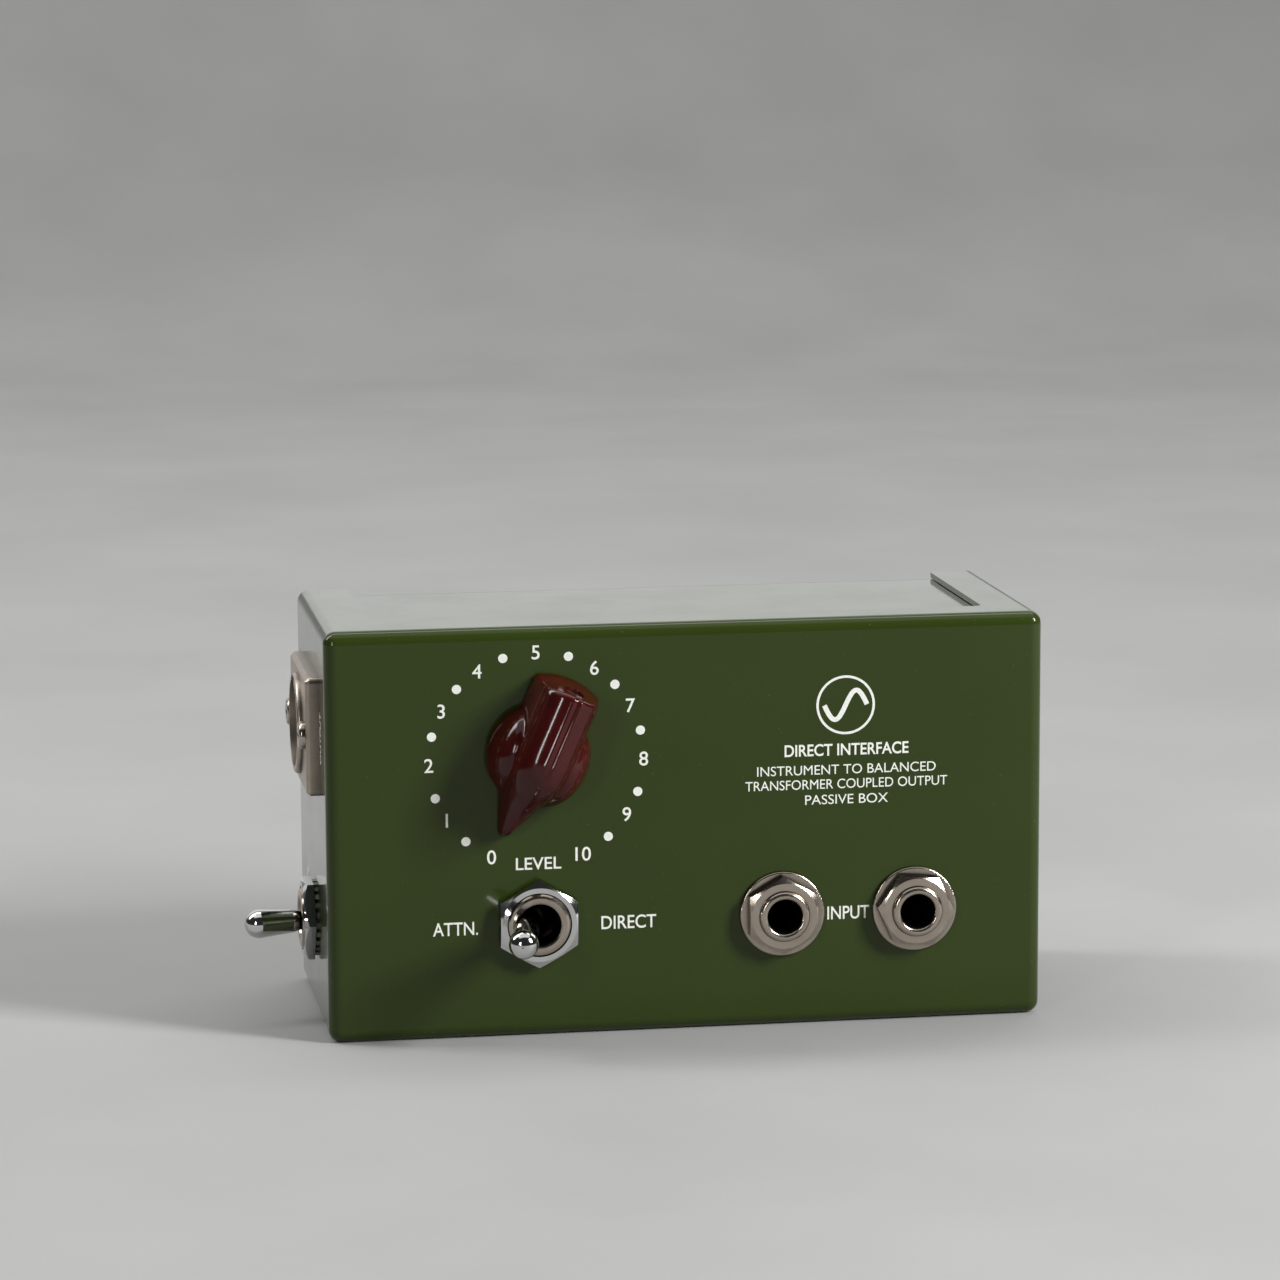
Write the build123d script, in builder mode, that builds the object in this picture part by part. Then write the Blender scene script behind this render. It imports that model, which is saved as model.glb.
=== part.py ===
"""A passive direct injection box: a two-piece sheet-metal case with a level control, an
attenuator toggle and two jacks on its front, and an output socket and a ground-lift
toggle on its left end, with the transformer, tag strip and wiring that it holds inside.

Millimetres. X runs along the case, Y from the control face to the back, Z up.
The origin is the centre of the rim that the case stands on.
"""

import os
from math import radians, tan

from build123d import *

# ---- driving dimensions -------------------------------------------------------------

case_length = 133.35
case_depth = 53.98
case_height = 76.2
sheet = 1.02
bend_radius = 2.3
rim_width = 9.5
shell_gap = 0.15

# centres on the control face, as (X, Z)
knob_spot = (-28.0, 52.7)
pad_switch_spot = (-28.1, 21.4)
jack_spots = {"left_jack": (17.4, 21.3), "right_jack": (42.4, 21.3)}

# centres on the left end, as (Y, Z)
socket_spot = (0.0, 55.2)
lift_switch_spot = (0.0, 18.0)

bushing_thread = 4.72  # radius of the 3/8 inch bushings of the control and the jacks
toggle_thread = 5.9  # radius of the 15/32 inch toggle bushings
small_thread = 1.38  # radius of the small machine screws
slack = 0.06  # radial play between a thread and its nut or hole

face_y = -case_depth / 2
back_y = case_depth / 2
left_x = -case_length / 2
inside_back_y = back_y - sheet
inner = -sheet  # height of the inside of a panel, seen from its outside face
cos_30 = 0.8660254

os.makedirs("parts", exist_ok=True)


# ---- places and shared shapes -------------------------------------------------------


def on_face(x, z):
    """The place (x, z) on the control face. Its local z points out."""
    return Plane(origin=(x, face_y, z), x_dir=(1, 0, 0), z_dir=(0, -1, 0)).location


def on_left_end(y, z):
    """The place (y, z) on the left end. Its local x runs towards the control face."""
    return Plane(origin=(left_x, y, z), x_dir=(0, -1, 0), z_dir=(-1, 0, 0)).location


def on_right_end(y, z):
    """The place (y, z) on the right end. Its local z points out."""
    return Plane(origin=(-left_x, y, z), x_dir=(0, 1, 0), z_dir=(1, 0, 0)).location


def on_back(x, z):
    """The place (x, z) on the back panel. Its local z points out."""
    return Plane(origin=(x, back_y, z), x_dir=(-1, 0, 0), z_dir=(0, 1, 0)).location


def keep(builder, name, place=Location()):
    """Put a finished piece in its place, label it and write its file."""
    piece = builder.part.moved(place)
    piece.label = name
    export_step(piece, f"parts/{name}.step")
    return piece


def keep_group(builder, name, places):
    """Put copies of one piece in several places as a single group."""
    with BuildPart() as group:
        for place in places:
            add(builder.part.moved(place))
    return keep(group, name)


def turn(*outline, mode=Mode.ADD):
    """Revolve a closed outline of (radius, height) points about the local Z axis."""
    with BuildSketch(Plane.XZ) as profile:
        with BuildLine():
            Polyline(*outline, close=True)
        make_face()
    revolve(profile.sketch, axis=Axis.Z, mode=mode)


def ring(outer, bore, low, high, mode=Mode.ADD):
    turn((bore, low), (outer, low), (outer, high), (bore, high), mode=mode)


def block(x_range, y_range, z_range, mode=Mode.ADD):
    """A box between two limits on each axis."""
    spans = (x_range, y_range, z_range)
    sizes = [high - low for low, high in spans]
    middle = [(high + low) / 2 for low, high in spans]
    with Locations(tuple(middle)):
        Box(*sizes, mode=mode)


def hex_nut(across_flats, bore, low, high, twist=0.0):
    """A hexagon nut, chamfered on its outer face. Without twist, two corners lie on local x."""
    corner = across_flats / 2 / cos_30
    with BuildPart() as nut:
        with BuildSketch(Plane.XY.offset(low)):
            RegularPolygon(radius=corner, side_count=6, rotation=twist)
            Circle(bore, mode=Mode.SUBTRACT)
        extrude(amount=high - low)
        chamfer_drop = (corner - across_flats / 2) * tan(radians(30)) + 0.15
        turn(
            (0, low - 1),
            (corner + 1, low - 1),
            (corner + 1, high - chamfer_drop - tan(radians(30))),
            (across_flats / 2 - 0.25, high),
            (0, high),
            mode=Mode.INTERSECT,
        )
    return nut


def toothed_washer(outer, bore, low, high, teeth):
    """A lock washer with a ring of small teeth round its outside."""
    tooth_depth = 0.12 * outer
    with BuildPart() as washer:
        ring(outer - tooth_depth, bore, low, high)
        with PolarLocations(outer - tooth_depth / 2 - 0.1, teeth):
            with Locations((0, 0, (low + high) / 2)):
                Box(tooth_depth + 0.2, outer * 3.4 / teeth, high - low)
    return washer


def cross_recess(top, size=2.6, depth=0.9):
    """Cut a cross-head recess into the screw being built."""
    for spin in (0, 90):
        with Locations(Location((0, 0, top), (0, 0, spin))):
            Box(size, size / 4, 2 * depth, mode=Mode.SUBTRACT)


def pan_screw(seat, length, head_radius=2.6, head_height=1.5):
    """A pan-head screw whose head sits at height seat, with its shank pointing down."""
    with BuildPart() as screw:
        ring(head_radius, 0, seat, seat + head_height)
        fillet(screw.edges().sort_by(Axis.Z)[-1], head_height * 0.55)
        ring(small_thread, 0, seat - length, seat)
        cross_recess(seat + head_height)
    return screw


# ---- the case -----------------------------------------------------------------------

case_screw_y = back_y - 5.0
case_screw_heights = (13.0, case_height - 13.0)
case_screw_places = [
    side(case_screw_y, height) for side in (on_left_end, on_right_end) for height in case_screw_heights
]
countersink_radius = 2.4

chassis_screw_spots = {"transformer": ((4.5, 52.0), (51.5, 52.0)), "tag_strip": ((-9.0, 31.0),)}
chassis_screw_places = [on_back(x, z) for spots in chassis_screw_spots.values() for x, z in spots]

socket_hole = 9.7
socket_screw_offset = 12.7

with BuildPart() as front_shell:
    block((left_x, -left_x), (face_y, back_y), (0, case_height))
    back_face = front_shell.faces().sort_by(Axis.Y)[-1]
    bends = [edge for edge in front_shell.edges() if edge.center().Y < back_y - 1]
    fillet(bends, bend_radius)
    offset(amount=-sheet, openings=front_shell.faces().sort_by(Axis.Y)[-1])
    opening_x = -left_x - rim_width
    for low, high in ((-1, rim_width), (case_height - rim_width, case_height + 1)):
        block((-opening_x, opening_x), (face_y + rim_width, back_y + 1), (low, high), Mode.SUBTRACT)
    upright = front_shell.edges().filter_by(Axis.Z)
    rim_corners = [edge for edge in upright if abs(abs(edge.center().X) - opening_x) < 0.01]
    fillet(rim_corners, 1.2)
    with Locations(on_face(*knob_spot)):
        Hole(bushing_thread + slack, depth=3)
    with Locations(*[on_face(*spot) for spot in jack_spots.values()]):
        Hole(bushing_thread + slack, depth=3)
    with Locations(on_face(*pad_switch_spot), on_left_end(*lift_switch_spot)):
        Hole(toggle_thread + slack, depth=3)
    with Locations(on_left_end(*socket_spot)):
        Hole(socket_hole, depth=3)
        with Locations((-socket_screw_offset, 0), (socket_screw_offset, 0)):
            Hole(small_thread + slack, depth=3)
    with Locations(*case_screw_places):
        CounterSinkHole(small_thread + slack, countersink_radius, depth=3)
keep(front_shell, "front_shell")

inside_x = -left_x - sheet - shell_gap
rear_low = sheet + shell_gap
rear_high = case_height - sheet - shell_gap
tab_depth = 9.5
tab_end = 5.0
rear_front = face_y + 2.5  # clear of the inside of the front bends

with BuildPart() as rear_shell:
    block((-inside_x, inside_x), (rear_front, back_y), (rear_low, rear_high))
    fillet([edge for edge in rear_shell.edges() if edge.center().Y > rear_front + 1], bend_radius)
    offset(amount=-sheet, openings=rear_shell.faces().sort_by(Axis.Y)[0])
    for side in (-1, 1):
        edge_span = sorted((side * (inside_x - sheet - 0.3), side * (inside_x + 1)))
        block(edge_span, (face_y, back_y - tab_depth), (0, case_height), Mode.SUBTRACT)
        for low in (rear_low - 1, rear_high - tab_end):
            block(edge_span, (face_y, back_y - 3), (low, low + tab_end + 1), Mode.SUBTRACT)
    with Locations(*case_screw_places):
        Hole(small_thread + slack, depth=4)
    with Locations(*chassis_screw_places):
        Hole(small_thread + slack, depth=3)
keep(rear_shell, "rear_shell")

with BuildPart() as case_screw:
    turn(
        (0, -7.5),
        (small_thread, -7.5),
        (small_thread, inner),
        (countersink_radius - 0.1, -0.1),
        (countersink_radius - 0.1, 0.02),
        (0, 0.02),
    )
    cross_recess(0.02, size=2.4, depth=0.7)

keep_group(case_screw, "case_screws", case_screw_places)

foot_radius = 5.0
foot_height = 3.2
foot_inset = 11.0

foot_places = [
    on_back(x, z)
    for x in (left_x + foot_inset, -left_x - foot_inset)
    for z in (foot_inset, case_height - foot_inset)
]

with BuildPart() as foot:
    turn((0, 0), (foot_radius, 0), (foot_radius * 0.85, foot_height), (0, foot_height))
    fillet(foot.edges().sort_by(Axis.Z)[-1], 0.8)
keep_group(foot, "rubber_feet", foot_places)


# ---- level control: a rotary potentiometer and its pointer knob ---------------------

level_place = on_face(*knob_spot)
pointer_rest = 155.5  # degrees that the pointer stands anticlockwise of straight up at "0"

shaft_radius = 3.17
shaft_top = 11.2
pot_washer_top = 0.6
pot_nut_top = 2.6
pot_bushing_top = 5.0
pot_mount = inner - 0.6
pot_radius = 12.0
pot_plate_bottom = pot_mount - 1.4
pot_back = pot_mount - 10.5

with BuildPart() as pot_washer:
    ring(6.9, bushing_thread + slack, 0, pot_washer_top)
keep(pot_washer, "level_pot_washer", level_place)

keep(hex_nut(12.7, bushing_thread + slack, pot_washer_top, pot_nut_top, 12), "level_pot_nut", level_place)

pot_lock_washer = toothed_washer(7.6, bushing_thread + slack, pot_mount, inner, 16)
keep(pot_lock_washer, "level_pot_lock_washer", level_place)

with BuildPart() as pot_bushing:
    ring(bushing_thread, shaft_radius + 0.05, pot_plate_bottom, pot_bushing_top)
    ring(pot_radius - 0.7, shaft_radius + 0.05, pot_plate_bottom, pot_mount)
    chamfer(pot_bushing.edges().filter_by(GeomType.CIRCLE).sort_by(Axis.Z)[-1], 0.4)
keep(pot_bushing, "level_pot_bushing", level_place)

wafer_top = pot_plate_bottom - 0.1
wafer_bottom = wafer_top - 1.5
tongue_width = 15.0
tongue_reach = 15.5

with BuildPart() as pot_can:
    ring(pot_radius, 0, pot_back, pot_plate_bottom)
    ring(pot_radius - 0.5, 0, pot_back + 0.5, pot_plate_bottom, Mode.SUBTRACT)
    notch = tongue_width / 2 + 0.2
    block((-notch, notch), (-pot_radius - 1, -6), (wafer_bottom - 0.2, pot_plate_bottom + 1), Mode.SUBTRACT)
    fillet(pot_can.edges().sort_by(Axis.Z)[0], 1.0)
keep(pot_can, "level_pot_can", level_place)

lug_columns = (-5.0, 0.0, 5.0)

with BuildPart() as pot_wafer:
    with BuildSketch(Plane.XY.offset(wafer_bottom)):
        Circle(pot_radius - 0.7)
        with Locations((0, -tongue_reach / 2)):
            Rectangle(tongue_width, tongue_reach)
        Circle(shaft_radius + 0.6, mode=Mode.SUBTRACT)
        with Locations(*[(x, -tongue_reach + 2) for x in lug_columns]):
            Circle(0.85, mode=Mode.SUBTRACT)
    extrude(amount=wafer_top - wafer_bottom)
keep(pot_wafer, "level_pot_wafer", level_place)

with BuildPart() as pot_lugs:
    for x in lug_columns:
        with Locations((x, -tongue_reach + 2, wafer_bottom - 0.3)):
            Cylinder(0.8, 2.2, align=(Align.CENTER, Align.CENTER, Align.MIN))
        with BuildSketch(Plane.XY.offset(wafer_bottom - 0.4)):
            with Locations((x, -tongue_reach - 0.6)):
                SlotOverall(8.0, 2.6, rotation=90)
            with Locations((x, -tongue_reach - 3)):
                Circle(0.7, mode=Mode.SUBTRACT)
        extrude(amount=0.4)
keep(pot_lugs, "level_pot_lugs", level_place)

rotor_top = wafer_bottom - 0.7
rotor_bottom = rotor_top - 1.6

with BuildPart() as pot_rotor:
    ring(6.5, shaft_radius, rotor_bottom, rotor_top)
    block((-1.5, 1.5), (0, 9.4), (rotor_bottom, rotor_bottom + 0.4))
    block((-1.5, 1.5), (8.6, 9.4), (rotor_bottom, rotor_top + 0.4))
    ring(shaft_radius, 0, rotor_bottom - 1, rotor_top + 1, Mode.SUBTRACT)
keep(pot_rotor, "level_pot_rotor", level_place)

with BuildPart() as pot_shaft:
    ring(shaft_radius, 0, rotor_bottom, shaft_top)
    ring(4.6, shaft_radius, rotor_top, wafer_bottom - 0.35)
    chamfer(pot_shaft.edges().filter_by(GeomType.CIRCLE).sort_by(Axis.Z)[-1], 0.4)
keep(pot_shaft, "level_pot_shaft", level_place)

# The knob is built with its pointer along local y and turned to its rest position.
skirt_radius = 9.52
knob_base = 0.6
dome_height = 8.6
bar_width = 13.0
tail_reach = 15.2
nose_reach = 16.2
nose_start = 5.6
nose_tip_width = 1.8
bar_height = 13.2
tail_height = 12.2
nose_height = 2.6
set_screw_height = 8.3
set_screw_radius = 1.9
set_screw_length = 10.4

level_knob_place = level_place * Location((0, 0, 0), (0, 0, pointer_rest))

with BuildPart() as pointer_bar:
    with BuildSketch(Plane.XY.offset(knob_base)):
        with BuildLine():
            Line((-bar_width / 2, nose_start), (-bar_width / 2, -tail_reach + 1.6))
            ThreePointArc(
                (-bar_width / 2, -tail_reach + 1.6), (0, -tail_reach), (bar_width / 2, -tail_reach + 1.6)
            )
            Line((bar_width / 2, -tail_reach + 1.6), (bar_width / 2, nose_start))
            Line((bar_width / 2, nose_start), (nose_tip_width / 2, nose_reach))
            Line((nose_tip_width / 2, nose_reach), (-nose_tip_width / 2, nose_reach))
            Line((-nose_tip_width / 2, nose_reach), (-bar_width / 2, nose_start))
        make_face()
    extrude(amount=bar_height - knob_base, taper=9.5)
    with BuildSketch(Plane.YZ):
        with BuildLine():
            Polyline(
                (-tail_reach - 1, knob_base),
                (-tail_reach - 1, tail_height),
                (0, bar_height),
                (3.0, bar_height - 0.5),
            )
            Spline(
                (3.0, bar_height - 0.5),
                (8.5, 7.6),
                (nose_reach + 1, nose_height - 0.6),
                tangents=[(1, -0.35), (1, -0.45)],
            )
            Line((nose_reach + 1, nose_height - 0.6), (nose_reach + 1, knob_base))
            Line((nose_reach + 1, knob_base), (-tail_reach - 1, knob_base))
        make_face()
    extrude(amount=bar_width, both=True, mode=Mode.INTERSECT)

with BuildPart() as knob_dome:
    with BuildSketch(Plane.XZ):
        with BuildLine():
            Line((0, knob_base), (skirt_radius, knob_base))
            Line((skirt_radius, knob_base), (skirt_radius, 1.8))
            EllipticalCenterArc((0, 1.8), skirt_radius, dome_height - 1.8, 0, arc_size=90)
            Line((0, dome_height), (0, knob_base))
        make_face()
    revolve(axis=Axis.Z)

with BuildPart() as level_knob:
    add(pointer_bar.part)
    add(knob_dome.part)
    ring(7.8, 0, knob_base - 1, 3.2, Mode.SUBTRACT)
    ring(5.3, 0, knob_base - 1, 5.6, Mode.SUBTRACT)
    ring(shaft_radius + 0.03, 0, knob_base - 1, shaft_top + 0.3, Mode.SUBTRACT)
    with Locations(Location((0, 0, set_screw_height), (90, 0, 0))):
        Cylinder(
            set_screw_radius + 0.05,
            tail_reach + 1,
            align=(Align.CENTER, Align.CENTER, Align.MIN),
            mode=Mode.SUBTRACT,
        )
keep(level_knob, "level_knob", level_knob_place)

with BuildPart() as knob_set_screw:
    with Locations(Location((0, -shaft_radius - 0.02, set_screw_height), (90, 0, 0))):
        Cylinder(set_screw_radius, set_screw_length, align=(Align.CENTER, Align.CENTER, Align.MIN))
    screw_end = -shaft_radius - set_screw_length
    slot_heights = (set_screw_height - 0.25, set_screw_height + 0.25)
    block((-2, 2), (screw_end - 1, screw_end + 0.8), slot_heights, Mode.SUBTRACT)
keep(knob_set_screw, "knob_set_screw", level_knob_place)


# ---- bat-handle toggle switches -----------------------------------------------------

toggle_places = {
    "pad_switch": on_face(*pad_switch_spot),
    "lift_switch": on_left_end(*lift_switch_spot),
}
toggle_tilt = 11.5
toggle_pivot = -7.2
toggle_ball = 3.3
bushing_top = 2.9
bushing_bottom = -9.1
frame_bottom = bushing_bottom - 0.8
switch_case_bottom = -20.0
switch_lug_end = -24.2
rocker_pivot = -14.2
rocker_tilt = 9.0
rocker_reach = 8.5
contact_columns = (-8.0, 0.0, 8.0)
contact_tops = {-8.0: -16.2, 0.0: -15.1, 8.0: -16.2}

toggle_lock_washer = toothed_washer(7.1, toggle_thread + slack, 0, 0.5, 24)
keep_group(toggle_lock_washer, "toggle_lock_washers", toggle_places.values())

toggle_nut = hex_nut(14.25, toggle_thread + slack, 0.5, 2.5, 30)
end_nut_place = toggle_places["lift_switch"] * Location((0, 0, 0), (0, 0, 30))
keep_group(toggle_nut, "toggle_nuts", [toggle_places["pad_switch"], end_nut_place])

toggle_back_nut = hex_nut(14.25, toggle_thread + slack, inner - 1.8, inner, 30)
keep_group(toggle_back_nut, "toggle_back_nuts", toggle_places.values())

with BuildPart() as toggle_bushing:
    turn(
        (toggle_ball + 0.3, bushing_bottom),
        (toggle_thread, bushing_bottom),
        (toggle_thread, bushing_top - 0.85),
        (toggle_thread - 0.15, bushing_top - 0.42),
        (toggle_thread - 0.42, bushing_top - 0.15),
        (toggle_thread - 0.85, bushing_top),
        (4.3, bushing_top),
        (4.0, bushing_top - 0.15),
        (3.85, bushing_top - 0.5),
        (2.7, -4.2),
        (toggle_ball + 0.3, -5.2),
    )

with BuildPart() as switch_frame:
    block((-13.3, 13.3), (-7.6, 7.6), (frame_bottom, bushing_bottom))
    for arm in ((-7.6, -7.0), (7.0, 7.6)):
        block((-5, 5), arm, (frame_bottom - 7.5, bushing_bottom))
    ring(toggle_ball + 0.3, 0, frame_bottom - 1, bushing_bottom + 1, Mode.SUBTRACT)

with BuildPart() as switch_case:
    block((-13.0, 13.0), (-7.0, 7.0), (switch_case_bottom, frame_bottom))
    fillet(switch_case.edges().filter_by(Axis.Z), 1.0)
    block((-10.5, 10.5), (-4.2, 4.2), (-16.9, frame_bottom + 1), Mode.SUBTRACT)
    for x in contact_columns:
        block((x - 0.5, x + 0.5), (-1.6, 1.6), (switch_case_bottom - 1, -16), Mode.SUBTRACT)

with BuildPart() as switch_lugs:
    for x in contact_columns:
        block((x - 0.5, x + 0.5), (-1.6, 1.6), (switch_lug_end, contact_tops[x]))
        block((x - 0.9, x + 0.9), (-1.6, 1.6), (contact_tops[x] - 0.4, contact_tops[x]))
        with Locations(Location((x, 0, switch_lug_end + 1.6), (0, 90, 0))):
            Cylinder(0.75, 3, mode=Mode.SUBTRACT)

with BuildPart() as switch_rocker:
    block((-rocker_reach, rocker_reach), (-2.2, 2.2), (-0.3, 0.3))


def toggle_lever(length):
    """The bat, ball and drive pin about the ball's centre. length is from panel to tip."""
    top = length - toggle_pivot
    tip = 2.72
    with BuildPart() as lever:
        with BuildSketch(Plane.XZ):
            with BuildLine():
                Polyline(
                    (0, top), (0, 0), (1.55, 0), (1.6, 9.9), (2.15, 12.0), (tip, top - tip)
                )
                RadiusArc((tip, top - tip), (0, top), -tip)
            make_face()
        revolve(axis=Axis.Z)
        Sphere(toggle_ball)
        ring(1.0, 0, -5.3, 0)
        with Locations((0, 0, -5.3)):
            Sphere(1.0)
    return lever


def toggle_switch(name, length, rest_side):
    """The pieces of one switch. The lever leans along local x, to rest_side of upright."""
    place = toggle_places[name]
    keep(toggle_bushing, f"{name}_bushing", place)
    keep(switch_frame, f"{name}_frame", place)
    keep(switch_case, f"{name}_case", place)
    keep(switch_lugs, f"{name}_lugs", place)
    leaning_rocker = Location((0, 0, rocker_pivot), (0, -rest_side * rocker_tilt, 0))
    keep(switch_rocker, f"{name}_rocker", place * leaning_rocker)
    leaning_lever = Location((0, 0, toggle_pivot), (0, rest_side * toggle_tilt, 0))
    keep(toggle_lever(length), f"{name}_lever", place * leaning_lever)


toggle_switch("pad_switch", length=20.5, rest_side=-1)
toggle_switch("lift_switch", length=13.9, rest_side=1)


# ---- quarter-inch jacks -------------------------------------------------------------

jack_places = {name: on_face(*spot) for name, spot in jack_spots.items()}
nut_twists = {"left_jack": 30.5, "right_jack": -5.5}
jack_bore = 3.2
jack_washer_top = 0.9
jack_nut_top = 3.0
jack_rim = 3.9
jack_plate_bottom = inner - 1.2
stack_span = (8.2, 13.0)
rivet_spots = ((-2.2, 10.6), (2.2, 10.6))
rivet_radius = 0.9
strip_top = jack_plate_bottom - 1.0
strip_bottom = strip_top - 0.4
clamp_top = strip_bottom - 1.0
clamp_bottom = clamp_top - 0.8
sleeve_lug_hole = -5.2


def rivet_holes():
    """Cut the two rivet holes through the piece being built."""
    for x, y in rivet_spots:
        with Locations((x, y, 0)):
            Cylinder(rivet_radius, 30, mode=Mode.SUBTRACT)


with BuildPart() as jack_washer:
    ring(7.94, bushing_thread + slack, 0, jack_washer_top)
    top_edges = jack_washer.edges().filter_by(GeomType.CIRCLE).group_by(Axis.Z)[-1]
    fillet(top_edges.sort_by(SortBy.LENGTH)[-1], 0.35)
keep_group(jack_washer, "jack_washers", jack_places.values())

with BuildPart() as jack_nuts:
    for name, place in jack_places.items():
        jack_nut = hex_nut(12.7, bushing_thread + slack, jack_washer_top, jack_nut_top, nut_twists[name])
        add(jack_nut.part.moved(place))
keep(jack_nuts, "jack_nuts")

with BuildPart() as jack_sleeve:
    block((-6.5, 6.5), (-7.5, stack_span[1]), (jack_plate_bottom, inner))
    fillet(jack_sleeve.edges().filter_by(Axis.Z), 1.5)
    ring(bushing_thread, 0, inner - 0.2, jack_rim)
    fillet(jack_sleeve.edges().sort_by(Axis.Z)[-1], 0.75)
    block((-1.4, 1.4), (-7.5, -6.5), (jack_plate_bottom - 7, jack_plate_bottom))
    with Locations(Location((0, -7, jack_plate_bottom + sleeve_lug_hole), (90, 0, 0))):
        Cylinder(0.75, 3, mode=Mode.SUBTRACT)
    ring(jack_bore, 0, jack_plate_bottom - 1, jack_rim + 1, Mode.SUBTRACT)
    mouth_edges = jack_sleeve.edges().filter_by(GeomType.CIRCLE).group_by(Axis.Z)[-1]
    fillet(mouth_edges.sort_by(SortBy.LENGTH)[0], 0.6)
    rivet_holes()

with BuildPart() as jack_insulator:
    block((-4.5, 4.5), stack_span, (strip_top, jack_plate_bottom))
    block((-4.5, 4.5), stack_span, (clamp_top, strip_bottom))
    rivet_holes()
keep_group(jack_insulator, "jack_insulators", jack_places.values())

with BuildPart() as tip_lug:
    block((-4.0, 4.0), (stack_span[0] + 0.2, stack_span[1] + 0.6), (strip_bottom, strip_top))
    block((-1.4, 1.4), (stack_span[1], stack_span[1] + 4.4), (strip_bottom, strip_top))
    with Locations((0, stack_span[1] + 2.8, 0)):
        Cylinder(0.75, 30, mode=Mode.SUBTRACT)
    rivet_holes()
keep_group(tip_lug, "jack_tip_lugs", jack_places.values())

with BuildPart() as rivet_pair:
    block((-4.2, 4.2), (stack_span[0] + 0.3, stack_span[1] - 0.3), (clamp_bottom, clamp_top))
    for x, y in rivet_spots:
        with Locations((x, y, clamp_bottom)):
            Cylinder(1.4, 0.7, align=(Align.CENTER, Align.CENTER, Align.MAX))
            Cylinder(rivet_radius, inner - clamp_bottom, align=(Align.CENTER, Align.CENTER, Align.MIN))
keep_group(rivet_pair, "jack_rivets", jack_places.values())

with BuildPart() as tip_spring:
    with BuildSketch(Plane.YZ):
        with BuildLine():
            Polyline((7.75, -3.7), (7.2, -5.2), (6.3, -17.0), (2.9, -22.2), (4.8, -24.6))
        trace(line_width=0.4)
    extrude(amount=2.5, both=True)

for name, place in jack_places.items():
    keep(jack_sleeve, f"{name}_sleeve", place)
    keep(tip_spring, f"{name}_tip_spring", place)


# ---- three-pin output socket --------------------------------------------------------

socket_place = on_left_end(*socket_spot)
plate_length = 31.75
plate_width = 22.2
plate_height = 2.5
cup_bore = 8.1
cup_wall = 9.4
cup_bottom = -12.5
insert_bottom = -17.0
pin_circle = 3.96
pin_radius = 1.2
pin_top = -1.5
pin_spots = ((-pin_circle, 0), (pin_circle, 0), (0, -pin_circle))
solder_cup_end = -22.5

with BuildPart() as socket_shell:
    block(
        (-plate_length / 2, plate_length / 2),
        (-plate_width / 2, plate_width / 2),
        (0, plate_height),
    )
    fillet(socket_shell.edges().filter_by(Axis.Z), 1.2)
    chamfer(socket_shell.faces().sort_by(Axis.Z)[-1].edges(), 0.7)
    ring(cup_wall, 0, insert_bottom, plate_height + 1.0)
    fillet(socket_shell.edges().sort_by(Axis.Z)[-1], 0.6)
    ring(cup_bore, 0, insert_bottom - 1, plate_height + 2, Mode.SUBTRACT)
    block((-2.2, 2.2), (0, cup_bore + 0.8), (-6, plate_height + 2), Mode.SUBTRACT)
    for x in (-socket_screw_offset, socket_screw_offset):
        with Locations((x, 0, 0)):
            Cylinder(small_thread + slack, 10, mode=Mode.SUBTRACT)
keep(socket_shell, "output_socket_shell", socket_place)

with BuildPart() as socket_insert:
    ring(cup_bore, 0, insert_bottom, cup_bottom)
    for x, y in pin_spots:
        with Locations((x, y, cup_bottom)):
            Cylinder(pin_radius, 20, mode=Mode.SUBTRACT)
keep(socket_insert, "output_socket_insert", socket_place)

with BuildPart() as socket_pin:
    turn(
        (0, solder_cup_end),
        (1.1, solder_cup_end),
        (1.4, solder_cup_end + 0.3),
        (1.4, insert_bottom),
        (pin_radius, insert_bottom),
        (pin_radius, pin_top - 0.8),
        (0.6, pin_top),
        (0, pin_top),
    )

with BuildPart() as socket_pins:
    for x, y in pin_spots:
        add(socket_pin.part.moved(Location((x, y, 0))))
keep(socket_pins, "output_socket_pins", socket_place)

socket_screw_places = [
    socket_place * Location((x, 0, 0)) for x in (-socket_screw_offset, socket_screw_offset)
]
socket_screw = pan_screw(plate_height, 7.0, head_height=1.2)
keep_group(socket_screw, "output_socket_screws", socket_screw_places)
socket_nut = hex_nut(5.5, small_thread + slack, inner - 2.2, inner)
keep_group(socket_nut, "output_socket_nuts", socket_screw_places)


# ---- transformer on the back panel --------------------------------------------------

core_x = 28.0
core_z = 52.0
core_width = 35.0
core_depth = 29.0
core_stack = 12.0
leg = 6.0  # the outer legs and the yokes; the centre leg is twice as wide
strap = 0.8
core_back = inside_back_y
core_front = core_back - core_depth
window_span = (core_front + leg, core_back - leg)
coil_reach = core_width / 2 - leg - 0.2


def around_core(half_width, y_span, half_stack, mode=Mode.ADD):
    """A block centred on the core's axis."""
    block(
        (core_x - half_width, core_x + half_width),
        y_span,
        (core_z - half_stack, core_z + half_stack),
        mode,
    )


with BuildPart() as transformer_core:
    around_core(core_width / 2, (core_front, core_back), core_stack / 2)
    for side in (-1, 1):
        window_x = core_x + side * (core_width / 2 - leg - (core_width / 2 - 2 * leg) / 2)
        half_window = (core_width / 2 - 2 * leg) / 2
        block((window_x - half_window, window_x + half_window), window_span, (0, 100), Mode.SUBTRACT)
keep(transformer_core, "transformer_core")

tube_outer = leg + 0.9
bobbin_span = (window_span[0] + 0.15, window_span[1] - 0.15)
winding_span = (bobbin_span[0] + 1.0, bobbin_span[1] - 1.0)

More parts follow.
